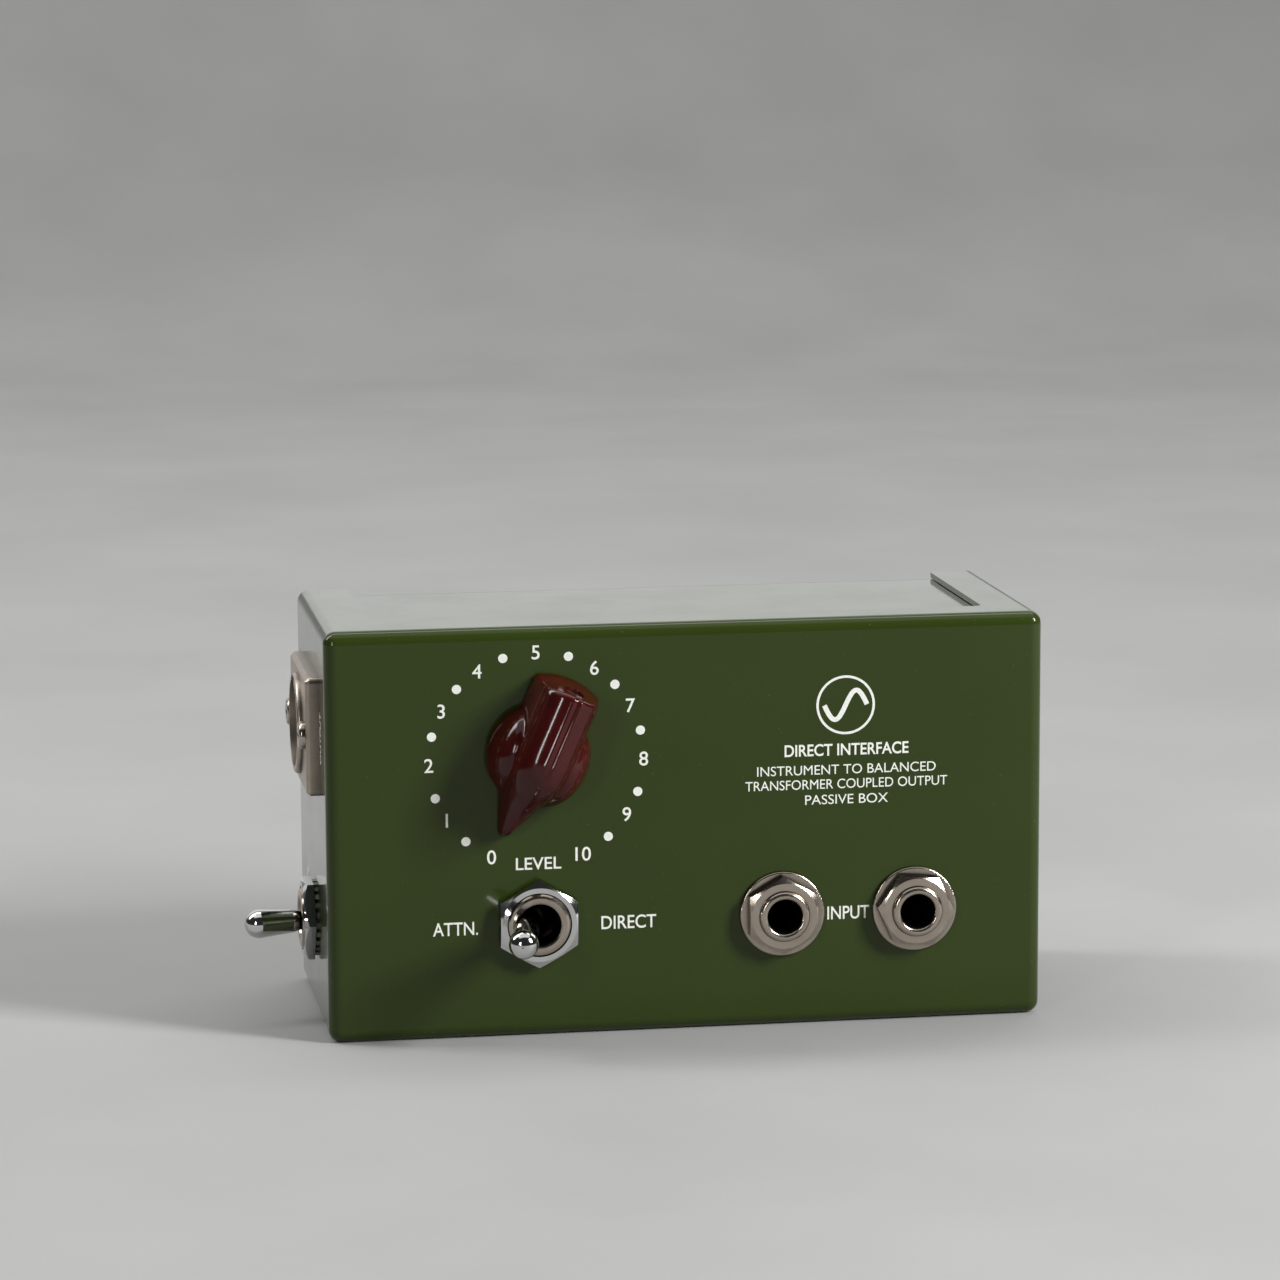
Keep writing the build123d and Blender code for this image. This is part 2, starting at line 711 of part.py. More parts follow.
with BuildPart() as transformer_bobbin:
    around_core(coil_reach, bobbin_span, coil_reach)
    fillet(transformer_bobbin.edges().filter_by(Axis.Y), 1.0)
    around_core(coil_reach + 1, winding_span, coil_reach + 1, Mode.SUBTRACT)
    around_core(tube_outer, winding_span, tube_outer)
    around_core(leg, (core_front, core_back), leg, Mode.SUBTRACT)
keep(transformer_bobbin, "transformer_bobbin")

with BuildPart() as transformer_winding:
    around_core(coil_reach - 0.4, winding_span, coil_reach - 0.4)
    fillet(transformer_winding.edges().filter_by(Axis.Y), 2.5)
    around_core(tube_outer, winding_span, tube_outer, Mode.SUBTRACT)
keep(transformer_winding, "transformer_winding")

strap_x = core_width / 2 + strap / 2
strap_front = core_front - strap / 2
foot_end = 28.0

with BuildPart() as transformer_bracket:
    with BuildSketch(Plane.XY.offset(core_z - core_stack / 2)):
        with BuildLine():
            Polyline(
                (core_x - foot_end, core_back - strap / 2),
                (core_x - strap_x, core_back - strap / 2),
                (core_x - strap_x, strap_front),
                (core_x + strap_x, strap_front),
                (core_x + strap_x, core_back - strap / 2),
                (core_x + foot_end, core_back - strap / 2),
            )
        trace(line_width=strap)
    extrude(amount=core_stack)
    with Locations(*[on_back(x, z) for x, z in chassis_screw_spots["transformer"]]):
        Cylinder(small_thread + slack, 8, mode=Mode.SUBTRACT)
keep(transformer_bracket, "transformer_bracket")


# ---- tag strip with the pad resistors -----------------------------------------------

strip_x, strip_foot_z = chassis_screw_spots["tag_strip"][0]
tag_pitch = 9.5
tag_columns = [strip_x + tag_pitch * step for step in (-1.5, -0.5, 0.5, 1.5)]
board_low = strip_foot_z + 4.8
board_high = board_low + 1.6
board_span = (15.5, 24.5)
tag_top = board_high + 0.4
tag_hole_y = board_span[0] - 2.6

with BuildPart() as tag_board:
    block((strip_x - 17, strip_x + 17), board_span, (board_low, board_high))
    fillet(tag_board.edges().filter_by(Axis.Z), 1.0)
keep(tag_board, "tag_board")

with BuildPart() as tag_foot:
    foot_sides = (strip_x - 3.5, strip_x + 3.5)
    block(foot_sides, (inside_back_y - strap, inside_back_y), (strip_foot_z - 4, board_low))
    block(foot_sides, (board_span[0] + 1.5, inside_back_y), (board_low - strap, board_low))
    with Locations(on_back(strip_x, strip_foot_z)):
        Cylinder(small_thread + slack, 8, mode=Mode.SUBTRACT)
keep(tag_foot, "tag_board_foot")

with BuildPart() as tags:
    for x in tag_columns:
        block((x - 1.3, x + 1.3), (board_span[0] - 4.2, board_span[0] + 6), (board_high, tag_top))
        with Locations((x, tag_hole_y, board_high)):
            Cylinder(0.6, 3, mode=Mode.SUBTRACT)
keep(tags, "tag_lugs")

resistor_y = board_span[0] - 1.4

with BuildPart() as resistors:
    for low, high in zip(tag_columns, tag_columns[1:]):
        middle = (low + high) / 2
        with Locations(Location((middle, resistor_y, tag_top + 0.3), (0, 90, 0))):
            Cylinder(0.32, tag_pitch - 0.9)
            Cylinder(1.15, 6.2)
            for end in (-2.5, 2.5):
                with Locations((0, 0, end)):
                    Cylinder(1.3, 1.2)
keep(resistors, "pad_resistors")

keep_group(pan_screw(0, 5.5), "chassis_screws", chassis_screw_places)
chassis_nut = hex_nut(5.5, small_thread + slack, inner - strap - 2.2, inner - strap)
keep_group(chassis_nut, "chassis_nuts", chassis_screw_places)


# ---- hook-up wires ------------------------------------------------------------------

wire_radius = 0.65
wire_bend = 2.4


def wire(*points):
    """One insulated wire through the points, with round bends, in the part being built."""
    with BuildLine() as run:
        FilletPolyline(*points, radius=wire_bend)
    with BuildSketch(Plane(origin=run.line @ 0, z_dir=run.line % 0)) as section:
        Circle(wire_radius)
    sweep(section.sketch, path=run.line)


left_jack_x, jack_z = jack_spots["left_jack"]
right_jack_x = jack_spots["right_jack"][0]
tip_lug_y = face_y - strip_top + 0.2
tip_lug_z = jack_z + stack_span[1] + 2.8
sleeve_lug_y = face_y - jack_plate_bottom + 5.2
sleeve_lug_z = jack_z - 7.0
pad_x, pad_z = pad_switch_spot
pad_lug_y = face_y - switch_lug_end - 1.2
lift_lug_x = left_x - switch_lug_end - 1.2
lift_z = lift_switch_spot[1]
level_lug_z = knob_spot[1] - tongue_reach - 3
level_lug_y = face_y - wafer_bottom + 0.3
cup_x = left_x - solder_cup_end - 0.4
socket_z = socket_spot[1]
tag_wire_z = tag_top + 0.3

with BuildPart() as input_wires:
    wire(
        (right_jack_x, tip_lug_y, tip_lug_z),
        (right_jack_x, tip_lug_y + 5, tip_lug_z),
        (left_jack_x + 0.9, tip_lug_y + 5, tip_lug_z),
        (left_jack_x + 0.9, tip_lug_y, tip_lug_z),
    )
    wire(
        (left_jack_x - 0.9, tip_lug_y, tip_lug_z),
        (left_jack_x - 0.9, -14, tip_lug_z),
        (-8, -14, tip_lug_z),
        (-8, 1, pad_z),
        (pad_x + 8, 1, pad_z),
        (pad_x + 8, pad_lug_y, pad_z),
    )
keep(input_wires, "input_wires")

with BuildPart() as level_wires:
    wire(
        (pad_x, pad_lug_y, pad_z),
        (pad_x, 1, pad_z),
        (pad_x, 1, level_lug_z - 0.6),
        (knob_spot[0] + 5, -13, level_lug_z - 0.6),
        (knob_spot[0] + 5, level_lug_y, level_lug_z),
    )
    wire(
        (knob_spot[0] - 5, level_lug_y, level_lug_z),
        (knob_spot[0] - 5, 1, level_lug_z),
        (tag_columns[0], 6, tag_wire_z),
        (tag_columns[0], board_span[0] - 3, tag_wire_z),
    )
    wire(
        (tag_columns[2], board_span[0] - 3, tag_wire_z),
        (tag_columns[2], 5, tag_wire_z),
        (core_x - 7, 5, tag_wire_z),
        (core_x - 7, 5, core_z - coil_reach + 1),
    )
keep(level_wires, "level_wires")

with BuildPart() as output_wires:
    wire(
        (core_x - 6, 8, core_z + coil_reach - 1),
        (core_x - 6, 8, 67.5),
        (-37, 8, 67.5),
        (-37, pin_circle, socket_z),
        (cup_x, pin_circle, socket_z),
    )
    wire(
        (core_x - 6, 5.4, core_z + coil_reach - 1),
        (core_x - 6, 5.4, 66),
        (-37, -pin_circle, 66),
        (-37, -pin_circle, socket_z),
        (cup_x, -pin_circle, socket_z),
    )
keep(output_wires, "output_wires")

with BuildPart() as ground_wires:
    wire(
        (cup_x, 0, socket_z - pin_circle),
        (-38.5, 0, socket_z - pin_circle),
        (-38.5, 0, lift_z),
        (lift_lug_x, 0, lift_z),
    )
    wire(
        (left_jack_x, sleeve_lug_y, sleeve_lug_z),
        (left_jack_x, -13, 8),
        (-36, 8, 8),
        (-36, 8, lift_z),
        (lift_lug_x, 8, lift_z),
    )
keep(ground_wires, "ground_wires")
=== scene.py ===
"""Looks of the direct injection box: materials, panel print, knob, floor, lights and camera."""

import math

import bmesh
import bpy
import numpy as np
from mathutils import Matrix, Vector


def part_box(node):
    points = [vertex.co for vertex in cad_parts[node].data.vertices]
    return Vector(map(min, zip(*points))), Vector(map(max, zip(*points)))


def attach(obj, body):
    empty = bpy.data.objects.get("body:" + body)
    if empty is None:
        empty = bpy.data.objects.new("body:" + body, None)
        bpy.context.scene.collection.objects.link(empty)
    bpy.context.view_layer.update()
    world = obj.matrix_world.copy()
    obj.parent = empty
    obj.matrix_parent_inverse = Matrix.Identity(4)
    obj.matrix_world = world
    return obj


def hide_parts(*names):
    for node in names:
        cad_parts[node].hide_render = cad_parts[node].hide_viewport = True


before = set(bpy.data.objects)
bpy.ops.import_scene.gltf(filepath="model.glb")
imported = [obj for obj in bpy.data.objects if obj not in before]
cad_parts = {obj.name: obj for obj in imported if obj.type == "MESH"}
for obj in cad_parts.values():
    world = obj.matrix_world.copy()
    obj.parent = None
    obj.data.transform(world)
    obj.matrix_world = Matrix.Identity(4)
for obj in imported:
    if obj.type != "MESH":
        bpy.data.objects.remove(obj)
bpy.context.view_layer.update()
scene = bpy.context.scene
MM = 0.001

face_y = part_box("front_shell")[0].y
left_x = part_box("front_shell")[0].x


def middle(node):
    """The centre of a CAD node's box."""
    low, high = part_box(node)
    return (low + high) / 2


# ---- camera, floor and lights -------------------------------------------------------

camera_place = (-0.1413, -0.8547, 0.2091)
turn_right, tilt_down, roll = 9.09, 9.204, 0.315

camera_data = bpy.data.cameras.new("camera")
camera_data.lens = 131.0
camera_data.sensor_width = 36.0
camera_data.clip_start = 0.05
camera = bpy.data.objects.new("camera", camera_data)
scene.collection.objects.link(camera)
look = (
    Matrix.Rotation(math.radians(-turn_right), 4, "Z")
    @ Matrix.Rotation(math.radians(90 - tilt_down), 4, "X")
    @ Matrix.Rotation(math.radians(-roll), 4, "Z")
)
camera.matrix_world = Matrix.Translation(camera_place) @ look
scene.camera = camera


def mesh_piece(name, vertices, faces, smooth=False):
    """A mesh object from lists of points and faces."""
    mesh = bpy.data.meshes.new(name)
    mesh.from_pydata([tuple(point) for point in vertices], [], faces)
    mesh.update()
    if smooth:
        mesh.polygons.foreach_set("use_smooth", [True] * len(mesh.polygons))
    piece = bpy.data.objects.new(name, mesh)
    scene.collection.objects.link(piece)
    return piece


def sweep_floor():
    """A floor that curves up into a backdrop behind the object."""
    half_width = 4.0
    front, turn_y, radius, top = -3.0, 1.1, 0.5, 2.6
    profile = [(front, 0.0), (0.0, 0.0), (turn_y, 0.0)]
    steps = 24
    for step in range(1, steps + 1):
        angle = math.pi / 2 * step / steps
        profile.append((turn_y + radius * math.sin(angle), radius * (1 - math.cos(angle))))
    profile.append((turn_y + radius, top))
    vertices = [(side * half_width, y, z) for y, z in profile for side in (-1, 1)]
    faces = [(2 * i, 2 * i + 1, 2 * i + 3, 2 * i + 2) for i in range(len(profile) - 1)]
    return mesh_piece("floor", vertices, faces, smooth=True)


def area_light(name, place, target, size, power):
    """A rectangular soft white light at a place, aimed at a target."""
    data = bpy.data.lights.new(name, "AREA")
    data.shape = "RECTANGLE"
    data.size, data.size_y = size
    data.energy = power
    light = bpy.data.objects.new(name, data)
    light.location = place
    aim = Vector(target) - Vector(place)
    light.rotation_euler = aim.to_track_quat("-Z", "Y").to_euler()
    light.visible_camera = False
    scene.collection.objects.link(light)


area_light("key_right", (0.86, -0.62, 0.62), (0, 0, 0.03), (0.24, 0.46), 21.0)
area_light("left_box", (-0.88, 0.28, 0.90), (0, 0, 0.04), (0.28, 0.85), 8.0)
area_light("near_strip", (-0.685, -0.957, 0.33), (-0.03, -0.03, 0.05), (0.08, 0.4), 2.6)
area_light("top_box", (0.0, 0.1, 1.5), (0, 0.05, 0.04), (2.2, 1.6), 10.0)
area_light("back_panel", (0.0, 1.2, 0.78), (0, 0, 0.5), (2.6, 1.15), 6.0)
area_light("back_wash", (0.0, 0.75, 2.2), (0, 1.5, 0.35), (2.6, 0.5), 16.0)

world = bpy.data.worlds.new("studio")
scene.world = world
world.use_nodes = True
background = world.node_tree.nodes["Background"]
background.inputs["Color"].default_value = (0.9, 0.93, 1.0, 1)
background.inputs["Strength"].default_value = 0.03
scene.view_settings.view_transform = "Standard"


# ---- shader helpers -----------------------------------------------------------------


class Shader:
    """One material: a principled shader with constants on its sockets, and nodes added to it."""

    def __init__(self, name, **constants):
        self.material = bpy.data.materials.new(name)
        self.material.use_nodes = True
        self.tree = self.material.node_tree
        self.tree.nodes.clear()
        self.output = self.tree.nodes.new("ShaderNodeOutputMaterial")
        self.surface = self.tree.nodes.new("ShaderNodeBsdfPrincipled")
        self.tree.links.new(self.surface.outputs[0], self.output.inputs[0])
        for socket, value in constants.items():
            self.surface.inputs[socket.replace("_", " ")].default_value = value
        self.place = self.tree.nodes.new("ShaderNodeTexCoord").outputs["Object"]
        self.heights = []

    def node(self, kind, inputs=None, **settings):
        """Add a node. An input is a constant, or another node's output to link."""
        made = self.tree.nodes.new(kind)
        for key, value in settings.items():
            setattr(made, key, value)
        for socket, value in (inputs or {}).items():
            if isinstance(value, bpy.types.NodeSocket):
                self.tree.links.new(value, made.inputs[socket])
            else:
                made.inputs[socket].default_value = value
        return made

    def noise(self, size, detail=2.0, roughness=0.5, stretch=(1, 1, 1)):
        """Noise whose features are about size millimetres across."""
        scaled = self.node("ShaderNodeVectorMath", {0: self.place, 1: stretch}, operation="MULTIPLY")
        inputs = {
            "Vector": scaled.outputs[0],
            "Scale": 1 / (size * MM),
            "Detail": detail,
            "Roughness": roughness,
        }
        return self.node("ShaderNodeTexNoise", inputs).outputs[0]

    def spread(self, value, low, high, from_low=0.3, from_high=0.7):
        """Map a noise value to a range."""
        inputs = {
            "Value": value,
            "From Min": from_low,
            "From Max": from_high,
            "To Min": low,
            "To Max": high,
        }
        return self.node("ShaderNodeMapRange", inputs).outputs[0]

    def mix(self, factor, first, second):
        """Mix two colours by a linked factor."""
        made = self.node("ShaderNodeMix", {0: factor}, data_type="RGBA", blend_type="MIX")
        for index, colour in ((6, first), (7, second)):
            if isinstance(colour, bpy.types.NodeSocket):
                self.tree.links.new(colour, made.inputs[index])
            else:
                made.inputs[index].default_value = (*colour, 1)
        return made.outputs[2]

    def painted_shade(self, colour, reach, depth=0.9):
        """Paint shade into a colour: darken it towards near black where the surface is hidden by
        others within reach millimetres.
        """
        hollow = self.node("ShaderNodeAmbientOcclusion", {"Distance": reach * MM}, samples=8)
        dark = self.spread(hollow.outputs["AO"], depth, 0.0, 0.25, 0.8)
        return self.mix(dark, colour, (0.004, 0.0035, 0.003))

    def use(self, socket, value):
        """Link a node's output to a socket of the surface."""
        self.tree.links.new(value, self.surface.inputs[socket])

    def bump(self, height, depth):
        """Raise the surface by height, depth millimetres for a height of one."""
        previous = self.heights[-1] if self.heights else None
        inputs = {"Height": height, "Strength": 1.0, "Distance": depth * MM}
        if previous is not None:
            inputs["Normal"] = previous
        made = self.node("ShaderNodeBump", inputs)
        self.heights.append(made.outputs[0])
        self.use("Normal", made.outputs[0])


def shade(pieces, shader):
    """Give CAD nodes or pieces a material."""
    for piece in pieces:
        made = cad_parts[piece] if isinstance(piece, str) else piece
        made.data.materials.clear()
        made.data.materials.append(shader.material)


# ---- materials ----------------------------------------------------------------------


def enamel():
    """Gloss enamel over sheet steel: faint orange peel, cloudy colour and a few dust specks."""
    paint = Shader("green_enamel", Roughness=0.14, Specular_IOR_Level=0.12, Coat_Weight=0.6)
    paint.surface.inputs["Coat IOR"].default_value = 1.3
    paint.surface.inputs["Coat Roughness"].default_value = 0.06
    cloud = paint.spread(paint.noise(38, 3), 0.0, 1.0)
    base = paint.mix(cloud, (0.0225, 0.0355, 0.0055), (0.0255, 0.040, 0.0066))
    dust = paint.spread(paint.noise(0.45, 1), 0.0, 0.3, 0.74, 0.79)
    paint.use("Base Color", paint.mix(dust, base, (0.20, 0.21, 0.17)))
    smear = paint.noise(14, 4, 0.6, stretch=(1, 1, 2.2))
    paint.use("Roughness", paint.spread(smear, 0.10, 0.18))
    paint.bump(paint.noise(1.6, 2), 0.004)
    paint.bump(paint.noise(9, 1), 0.02)
    return paint


def bakelite():
    """Deep oxblood moulded plastic with faint flow marks."""
    plastic = Shader("oxblood_bakelite", Roughness=0.1, Specular_IOR_Level=0.32)
    flow = plastic.spread(plastic.noise(5, 4, 0.6, stretch=(1, 1, 0.4)), 0.0, 1.0)
    plastic.use("Base Color", plastic.mix(flow, (0.032, 0.0034, 0.0031), (0.050, 0.0050, 0.0044)))
    plastic.use("Roughness", plastic.spread(plastic.noise(3, 3), 0.08, 0.16))
    plastic.bump(plastic.noise(2.5, 2), 0.004)
    return plastic


def plated(name, light, dark, roughness, grain=(1, 1, 1)):
    """Plated metal with fine grain, worn patches of colour, uneven polish and painted shade in its
    recesses.
    """
    metal = Shader(name, Metallic=1.0, Roughness=roughness)
    patch = metal.spread(metal.noise(4, 4, 0.6), 0.0, 1.0)
    # Painted shade: the colour darkens towards near black where other surfaces crowd close.
    metal.use("Base Color", metal.painted_shade(metal.mix(patch, light, dark), 5))
    fine = metal.noise(0.25, 3, 0.6, stretch=grain)
    metal.use("Roughness", metal.spread(fine, roughness * 0.7, roughness * 1.35))
    metal.bump(fine, 0.0015)
    return metal


def moulded(name, light, dark, roughness, size=1.2, depth=0.01):
    """Plain moulded or woven insulation with mottled colour."""
    plastic = Shader(name, Roughness=roughness)
    mottle = plastic.spread(plastic.noise(size * 3, 4), 0.0, 1.0)
    plastic.use("Base Color", plastic.mix(mottle, light, dark))
    uneven = plastic.spread(plastic.noise(size, 3), roughness * 0.8, min(1.0, roughness * 1.2))
    plastic.use("Roughness", uneven)
    plastic.bump(plastic.noise(size * 0.3, 3), depth)
    return plastic


def backdrop():
    """Pale seamless paper."""
    paper = Shader("pale_paper", Roughness=0.85)
    cloud = paper.spread(paper.noise(90, 4), 0.0, 1.0)
    paper.use("Base Color", paper.mix(cloud, (0.29, 0.29, 0.285), (0.32, 0.32, 0.315)))
    paper.bump(paper.noise(0.8, 3), 0.03)
    return paper


def screen_ink():
    """White printed ink with slightly thin patches."""
    ink = Shader("white_ink", Roughness=0.45)
    thin = ink.spread(ink.noise(0.5, 3), 0.0, 1.0)
    ink.use("Base Color", ink.mix(thin, (0.78, 0.79, 0.74), (0.66, 0.68, 0.61)))
    ink.bump(ink.noise(0.2, 2), 0.004)
    return ink


nickel = ((0.46, 0.405, 0.345), (0.38, 0.325, 0.27))
chrome = ((0.66, 0.66, 0.65), (0.58, 0.58, 0.57))
zinc = ((0.50, 0.50, 0.47), (0.40, 0.41, 0.40))
brass = ((0.62, 0.50, 0.27), (0.52, 0.40, 0.20))

shade(["front_shell", "rear_shell"], enamel())
oxblood = bakelite()
shade(["level_knob"], oxblood)
shade(
    ["toggle_nuts", "pad_switch_lever", "lift_switch_lever"],
    plated("polished_chrome", *chrome, 0.09),
)
shade(
    ["case_screws", "chassis_screws", "output_socket_screws"],
    plated("screw_nickel", *nickel, 0.22),
)
shade(
    ["left_jack_sleeve", "right_jack_sleeve", "jack_nuts", "jack_washers"],
    plated("jack_nickel", *nickel, 0.2),
)
shade(["pad_switch_bushing", "lift_switch_bushing"], plated("bushing_nickel", *nickel, 0.18))
shade(["output_socket_shell"], plated("satin_nickel", *nickel, 0.34, grain=(1, 1, 5)))
shade(
    [
        "level_pot_washer",
        "level_pot_nut",
        "level_pot_lock_washer",
        "level_pot_can",
        "level_pot_shaft",
        "knob_set_screw",
        "toggle_lock_washers",
        "toggle_back_nuts",
        "pad_switch_frame",
        "lift_switch_frame",
        "output_socket_nuts",
        "transformer_bracket",
        "tag_board_foot",
        "chassis_nuts",
    ],
    plated("zinc_plate", *zinc, 0.3),
)
shade(
    [
        "level_pot_bushing",
        "level_pot_lugs",
        "pad_switch_lugs",
        "lift_switch_lugs",
        "pad_switch_rocker",
        "lift_switch_rocker",
        "jack_tip_lugs",
        "jack_rivets",
        "left_jack_tip_spring",
        "right_jack_tip_spring",
        "output_socket_pins",
        "tag_lugs",
    ],
    plated("tinned_brass", *brass, 0.26),
)
shade(
    [
        "level_pot_wafer",
        "level_pot_rotor",
        "pad_switch_case",
        "lift_switch_case",
        "jack_insulators",
        "tag_board",
    ],
    moulded("phenolic_board", (0.10, 0.045, 0.018), (0.07, 0.03, 0.012), 0.5),
)
shade(
    ["output_socket_insert", "transformer_bobbin"],
    moulded("black_nylon", (0.012, 0.012, 0.012), (0.02, 0.02, 0.02), 0.4),
)
shade(
    ["rubber_feet"],
    moulded("black_rubber", (0.014, 0.014, 0.014), (0.022, 0.021, 0.02), 0.75, size=0.8, depth=0.03),
)
shade(
    ["transformer_core"],
    moulded("core_laminations", (0.07, 0.07, 0.07), (0.11, 0.10, 0.095), 0.5, size=0.5, depth=0.03),
)
shade(
    ["transformer_winding", "pad_resistors"],
    moulded("varnished_tape", (0.45, 0.27, 0.05), (0.36, 0.20, 0.035), 0.35),
)
shade(
    ["input_wires", "level_wires"],
    moulded("red_sleeve", (0.22, 0.014, 0.012), (0.16, 0.01, 0.01), 0.4, size=0.6),
)
shade(
    ["output_wires", "ground_wires"],
    moulded("black_sleeve", (0.016, 0.016, 0.017), (0.028, 0.028, 0.028), 0.42, size=0.6),
)

floor = sweep_floor()
shade([floor], backdrop())


# ---- panel print --------------------------------------------------------------------

ink = screen_ink()
ink_thickness = 0.02 * MM
face_turn = Matrix.Rotation(math.pi / 2, 4, "X")
left_turn = Matrix.Rotation(-math.pi / 2, 4, "Z") @ Matrix.Rotation(math.pi / 2, 4, "X")


def evaluated_mesh(piece):
    """The mesh that a curve or a modified object comes out as."""
    bpy.context.view_layer.update()
    return bpy.data.meshes.new_from_object(piece.evaluated_get(bpy.context.evaluated_depsgraph_get()))


def mesh_of(made, name):
    """Turn mesh code's bmesh into a mesh, and free it."""
    mesh = bpy.data.meshes.new(name)
    made.to_mesh(mesh)
    made.free()
    return mesh


def text_mesh(words, cap_height, width=None, stroke=0.03):
    """A flat mesh of words centred on the origin. Sizes are in millimetres."""
    curve = bpy.data.curves.new("words", "FONT")
    curve.body = "H"
    curve.align_x = "CENTER"
    probe = bpy.data.objects.new("words", curve)
    scene.collection.objects.link(probe)
    bpy.context.view_layer.update()
    curve.size = cap_height * MM / probe.dimensions.y
    curve.body = words
    curve.offset = stroke * MM
    curve.extrude = ink_thickness / 2
    curve.resolution_u = 6
    mesh = evaluated_mesh(probe)
    bpy.data.objects.remove(probe)
    corners = np.array([tuple(vertex.co) for vertex in mesh.vertices])
    low, high = corners.min(axis=0), corners.max(axis=0)
    squeeze = width * MM / (high[0] - low[0]) if width else 1.0
    mesh.transform(
        Matrix.Diagonal((squeeze, 1, 1, 1))
        @ Matrix.Translation((-(low[0] + high[0]) / 2, -cap_height * MM / 2, 0))
    )
    return mesh


def join_prints(name, meshes, turn, surface_point):
    """Join flat meshes into one piece of print, standing just proud of a surface."""
    whole = bmesh.new()
    for mesh in meshes:
        whole.from_mesh(mesh)
        bpy.data.meshes.remove(mesh)
    joined = mesh_of(whole, name)
    joined.transform(Matrix.Translation(surface_point) @ turn)
    piece = bpy.data.objects.new(name, joined)
    scene.collection.objects.link(piece)
    shade([piece], ink)
    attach(piece, "enclosure")


def placed(mesh, x, y, angle=0.0):
    """Turn a flat mesh by an angle and move it to x, y in millimetres."""
    mesh.transform(Matrix.Translation((x * MM, y * MM, 0)) @ Matrix.Rotation(angle, 4, "Z"))
    return mesh


def disc_mesh(radius, rim=0.0, segments=48):
    """A thin disc, or a ring if rim is its width."""
    made = bmesh.new()
    turns = np.linspace(0, 2 * math.pi, segments, False)
    outer = [(radius * math.cos(turn), radius * math.sin(turn)) for turn in turns]
    half = ink_thickness / 2
    if rim:
        share = (radius - rim) / radius
        loops = [
            [made.verts.new((x * s, y * s, z)) for x, y in outer]
            for s, z in ((1, half), (share, half), (share, -half), (1, -half))
        ]
        for first, second in zip(loops, loops[1:] + loops[:1]):
            for i in range(segments):
                j = (i + 1) % segments
                made.faces.new((first[i], first[j], second[j], second[i]))
    else:
        top = [made.verts.new((x, y, half)) for x, y in outer]
        low = [made.verts.new((x, y, -half)) for x, y in outer]
        made.faces.new(top)
        made.faces.new(list(reversed(low)))
        for i in range(segments):
            j = (i + 1) % segments
            made.faces.new((low[i], low[j], top[j], top[i]))
    bmesh.ops.recalc_face_normals(made, faces=made.faces)
    return mesh_of(made, "disc")


def ribbon_mesh(points, width):
    """A thin flat ribbon along points, in metres."""
    made = bmesh.new()
    half = ink_thickness / 2
    path = np.array(points, float)
    along = np.gradient(path, axis=0)
    along /= np.linalg.norm(along, axis=1)[:, None]
    side = np.stack([-along[:, 1], along[:, 0]], 1) * width / 2
    rows = []
    for point, out in zip(path, side):
        left, right = point + out, point - out
        corners = ((left, half), (right, half), (right, -half), (left, -half))
        rows.append([made.verts.new((corner[0], corner[1], z)) for corner, z in corners])
    for first, second in zip(rows, rows[1:]):
        for i in range(4):
            j = (i + 1) % 4
            made.faces.new((first[i], first[j], second[j], second[i]))
    made.faces.new(rows[0])
    made.faces.new(list(reversed(rows[-1])))
    bmesh.ops.recalc_face_normals(made, faces=made.faces)
    return mesh_of(made, "ribbon")


face_print_at = (0, face_y - ink_thickness / 2, 0)
dial_x, dial_z = -28.1, 51.8
dial_radius = 19.8
number_height = 2.5
dot_radius = 0.85
number_angles = (0, 33, 61.5, 91.5, 123, 154.7)
dot_angles = (17.7, 47.3, 76, 109.5, 138.4)


def on_dial(mesh, angle):
    """Put a print on the dial, angle degrees clockwise from the top."""
    turn = math.radians(angle)
    return placed(mesh, dial_x + dial_radius * math.sin(turn), dial_z + dial_radius * math.cos(turn))


numbers = [
    on_dial(text_mesh(str(5 + i), number_height), angle) for i, angle in enumerate(number_angles)
]
numbers += [
    on_dial(text_mesh(str(5 - i), number_height), -angle)
    for i, angle in enumerate(number_angles)
    if i
]
dots = [on_dial(disc_mesh(dot_radius * MM), side * angle) for angle in dot_angles for side in (-1, 1)]
join_prints("dial_numbers", numbers, face_turn, face_print_at)
join_prints("dial_dots", dots, face_turn, face_print_at)

labels = [
    placed(text_mesh("LEVEL", 2.2, 8.4), -27.9, 32.45),
    placed(text_mesh("ATTN.", 2.4, 8.3), -43.35, 20.75),
    placed(text_mesh("DIRECT", 2.4, 10.2), -11.25, 20.85),
    placed(text_mesh("INPUT", 2.4, 7.9), 29.95, 20.95),
]
join_prints("control_labels", labels, face_turn, face_print_at)

title_x = 29.6
small_height = 1.75
title = [
    placed(text_mesh("DIRECT INTERFACE", 2.1, 23.3, 0.05), title_x, 51.7),
    placed(text_mesh("INSTRUMENT TO BALANCED", small_height, 33.6, 0.0), title_x, 48.0),
    placed(text_mesh("TRANSFORMER COUPLED OUTPUT", small_height, 38.0, 0.0), title_x, 45.3),
    placed(text_mesh("PASSIVE BOX", small_height, 15.6, 0.0), title_x, 42.4),
]
join_prints("title_block", title, face_turn, face_print_at)

emblem_spot = (29.4, 60.0)
wave_length, wave_height = 8.0, 2.7
wave = [
    (wave_length * MM * t, wave_height * MM * math.sin(2 * math.pi * t))
    for t in np.linspace(-0.5, 0.5, 41)
]
emblem = [
    placed(disc_mesh(5.5 * MM, 0.45 * MM, 96), *emblem_spot),
    placed(ribbon_mesh(wave, 0.9 * MM), *emblem_spot),
]
join_prints("wave_emblem", emblem, face_turn, face_print_at)

